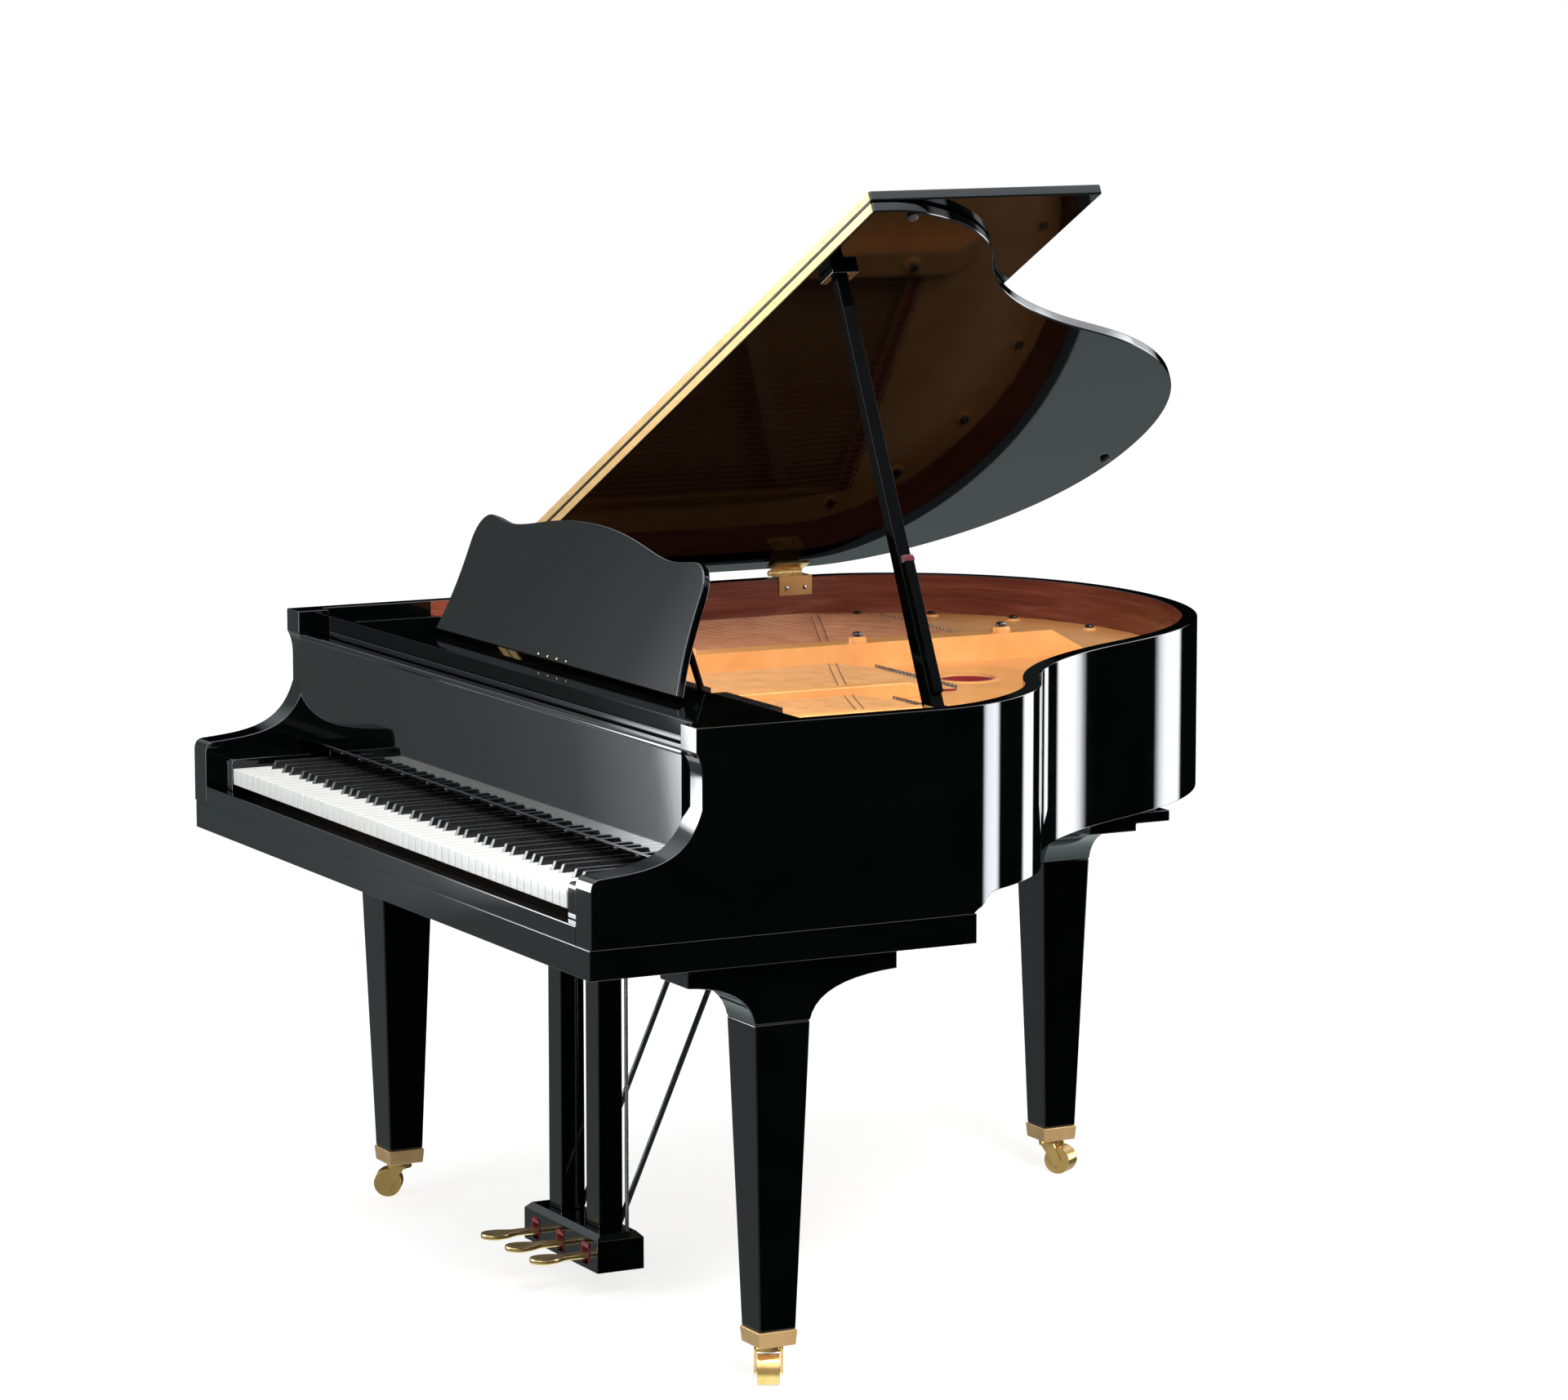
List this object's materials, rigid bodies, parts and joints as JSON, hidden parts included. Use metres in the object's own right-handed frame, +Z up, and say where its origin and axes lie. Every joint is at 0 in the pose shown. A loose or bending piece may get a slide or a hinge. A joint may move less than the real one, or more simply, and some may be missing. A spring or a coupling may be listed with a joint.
{
  "type": "baby grand piano",
  "caption": "Polished black baby grand with raised lid on a prop, folded front flap, music desk, playable keys, pedal lyre and three legs on brass casters.",
  "frame": {"origin": "centre of the whole piano's footprint on the floor, lid raised", "axes": "+X to the treble side, +Y from the player to the tail, +Z up"},
  "size_m": [1.4804, 1.491, 1.6876],
  "materials": {
    "lacquer": "polished black polyester lacquer over wood",
    "ivory": "white acrylic key covering",
    "ebony": "satin black",
    "bare_wood": "clear varnish",
    "spruce": "clear varnish",
    "gilt_iron": "bronze-gold paint",
    "steel": "drawn wire and plated rod",
    "black_wood": "black lacquered wood with white felt under it",
    "brass": "polished"
  },
  "bodies": {
    "case": {"rim": "lacquer", "keybed": "lacquer", "keyslip": "lacquer", "key_block_left": "lacquer", "key_block_right": "lacquer", "stretcher": "lacquer", "inner_rim": "bare_wood", "soundboard": "spruce", "back_beams": "bare_wood", "pin_block": "bare_wood", "iron_plate": "gilt_iron", "bridge": "bare_wood", "strings": "steel", "lid_hinge_front_rim_leaf": "brass", "lid_hinge_rear_rim_leaf": "brass", "prop_bracket": "brass", "leg_left": "lacquer", "leg_right": "lacquer", "leg_rear": "lacquer", "leg_block_left": "lacquer", "leg_block_right": "lacquer", "leg_block_rear": "lacquer", "ferrule_left": "brass", "ferrule_right": "brass", "ferrule_rear": "brass", "lyre_frame": "lacquer", "pedal_box": "lacquer", "lyre_brace_left": "lacquer", "lyre_brace_right": "lacquer"},
    "lid": {"main_lid": "lacquer", "fold_hinge": "brass", "lid_hinge_front_lid_leaf": "brass", "lid_hinge_rear_lid_leaf": "brass", "prop_cup": "lacquer"},
    "flap": {"front_lid": "lacquer"},
    "long_prop": {"lid_prop": "lacquer"},
    "prop_extension": {"short_prop": "lacquer"},
    "fallboard": {"fallboard": "lacquer"},
    "shelf": {"music_shelf": "lacquer"},
    "desk": {"music_desk": "lacquer"},
    "strut": {"desk_strut": "lacquer"},
    "keyboard": {"white_keys": "ivory", "black_keys": "ebony", "hammer_action": "bare_wood"},
    "key_c": {"key_middle_c": "ivory"},
    "key_d": {"key_middle_d": "ivory"},
    "key_c_sharp": {"key_middle_c_sharp": "ebony"},
    "dampers": {"damper_rack": "black_wood"},
    "pedal_left": {"pedal_left": "brass"},
    "rod_left": {"pedal_rod_left": "steel"},
    "pedal_middle": {"pedal_middle": "brass"},
    "rod_middle": {"pedal_rod_middle": "steel"},
    "pedal_right": {"pedal_right": "brass"},
    "rod_right": {"pedal_rod_right": "steel"},
    "caster_left": {"caster_fork_left": "brass"},
    "wheel_left": {"caster_wheel_left": "brass"},
    "caster_right": {"caster_fork_right": "brass"},
    "wheel_right": {"caster_wheel_right": "brass"},
    "caster_rear": {"caster_fork_rear": "brass"},
    "wheel_rear": {"caster_wheel_rear": "brass"}
  },
  "joints": [
    {"name": "lid_hinge", "type": "hinge", "parent": "case", "child": "lid", "pos_m": [-0.73178, 0.0095, 0.9695], "axis": [0, -1, 0], "range_deg": [0, 40]},
    {"name": "flap_fold", "type": "hinge", "parent": "lid", "child": "flap", "pos_m": [-0.08439, -0.2145, 1.33265], "axis": [0.8854, 0, 0.4648], "range_deg": [0, 180]},
    {"name": "prop_fold", "type": "hinge", "parent": "case", "child": "long_prop", "pos_m": [0.68422, -0.1725, 0.945], "axis": [0, -1, 0], "range_deg": [0, 61]},
    {"name": "short_prop_swing", "type": "hinge", "parent": "long_prop", "child": "prop_extension", "pos_m": [0.68471, -0.1725, 0.97847], "axis": [0, 1, 0], "range_deg": [0, 60]},
    {"name": "fallboard_hinge", "type": "hinge", "parent": "case", "child": "fallboard", "pos_m": [0.01022, -0.5745, 0.763], "axis": [1, 0, 0], "range_deg": [0, 90]},
    {"name": "shelf_slide", "type": "slide", "parent": "case", "child": "shelf", "axis": [0, -1, 0], "range_m": [0, 0.08]},
    {"name": "desk_fold", "type": "hinge", "parent": "shelf", "child": "desk", "pos_m": [0.01022, -0.4475, 0.957], "axis": [-1, 0, 0], "range_deg": [0, 66]},
    {"name": "strut_fold", "type": "hinge", "parent": "shelf", "child": "strut", "pos_m": [0.34022, -0.3725, 0.9553], "axis": [-1, 0, 0], "range_deg": [0, 108]},
    {"name": "keyboard_shift", "type": "slide", "parent": "case", "child": "keyboard", "axis": [1, 0, 0], "range_m": [0, 0.003]},
    {"name": "key_c_dip", "type": "hinge", "parent": "keyboard", "child": "key_c", "pos_m": [-0.04868, -0.5155, 0.7143], "axis": [1, 0, 0], "range_deg": [0, 2.5], "stiffness_Nm_per_rad": 2, "springref_deg": -5.73},
    {"name": "key_d_dip", "type": "hinge", "parent": "keyboard", "child": "key_d", "pos_m": [-0.02512, -0.5155, 0.7143], "axis": [1, 0, 0], "range_deg": [0, 2.5], "stiffness_Nm_per_rad": 2, "springref_deg": -5.73},
    {"name": "key_c_sharp_dip", "type": "hinge", "parent": "keyboard", "child": "key_c_sharp", "pos_m": [-0.0391, -0.5155, 0.7143], "axis": [1, 0, 0], "range_deg": [0, 2.5], "stiffness_Nm_per_rad": 2, "springref_deg": -5.73},
    {"name": "damper_lift", "type": "slide", "parent": "case", "child": "dampers", "axis": [0, 0, 1], "range_m": [0, 0.006]},
    {"name": "pedal_left_press", "type": "hinge", "parent": "case", "child": "pedal_left", "pos_m": [-0.07778, -0.4205, 0.064], "axis": [1, 0, 0], "range_deg": [0, 5], "stiffness_Nm_per_rad": 20, "springref_deg": -5.73},
    {"name": "rod_left_rise", "type": "slide", "parent": "case", "child": "rod_left", "axis": [0, 0, 1], "range_m": [0, 0.0039]},
    {"name": "pedal_middle_press", "type": "hinge", "parent": "case", "child": "pedal_middle", "pos_m": [0.01022, -0.4205, 0.064], "axis": [1, 0, 0], "range_deg": [0, 5], "stiffness_Nm_per_rad": 20, "springref_deg": -5.73},
    {"name": "rod_middle_rise", "type": "slide", "parent": "case", "child": "rod_middle", "axis": [0, 0, 1], "range_m": [0, 0.0039]},
    {"name": "pedal_right_press", "type": "hinge", "parent": "case", "child": "pedal_right", "pos_m": [0.09822, -0.4205, 0.064], "axis": [1, 0, 0], "range_deg": [0, 5], "stiffness_Nm_per_rad": 20, "springref_deg": -5.73},
    {"name": "rod_right_rise", "type": "slide", "parent": "case", "child": "rod_right", "axis": [0, 0, 1], "range_m": [0, 0.0039]},
    {"name": "caster_left_swivel", "type": "hinge", "parent": "case", "child": "caster_left", "pos_m": [-0.64078, -0.4295, 0.0564], "axis": [0, 0, 1], "continuous": true},
    {"name": "wheel_left_roll", "type": "hinge", "parent": "caster_left", "child": "wheel_left", "pos_m": [-0.64978, -0.44509, 0.0225], "axis": [-0.866, 0.5, 0], "continuous": true},
    {"name": "caster_right_swivel", "type": "hinge", "parent": "case", "child": "caster_right", "pos_m": [0.66122, -0.4295, 0.0564], "axis": [0, 0, 1], "continuous": true},
    {"name": "wheel_right_roll", "type": "hinge", "parent": "caster_right", "child": "wheel_right", "pos_m": [0.67711, -0.43795, 0.0225], "axis": [-0.4695, -0.8829, 0], "continuous": true},
    {"name": "caster_rear_swivel", "type": "hinge", "parent": "case", "child": "caster_rear", "pos_m": [-0.29278, 0.5975, 0.0564], "axis": [0, 0, 1], "continuous": true},
    {"name": "wheel_rear_roll", "type": "hinge", "parent": "caster_rear", "child": "wheel_rear", "pos_m": [-0.27804, 0.60782, 0.0225], "axis": [0.5736, -0.8192, 0], "continuous": true}
  ],
  "couplings": [
    {"joint": "strut_fold", "follows": "desk_fold", "ratio": 1.62},
    {"joint": "pedal_left_press", "follows": "keyboard_shift", "rad_per_m": 29},
    {"joint": "rod_left_rise", "follows": "keyboard_shift", "ratio": 1.27},
    {"joint": "pedal_right_press", "follows": "damper_lift", "rad_per_m": 14.3},
    {"joint": "rod_right_rise", "follows": "damper_lift", "ratio": 0.63},
    {"joint": "rod_middle_rise", "follows": "pedal_middle_press", "m_per_rad": 0.0435}
  ]
}
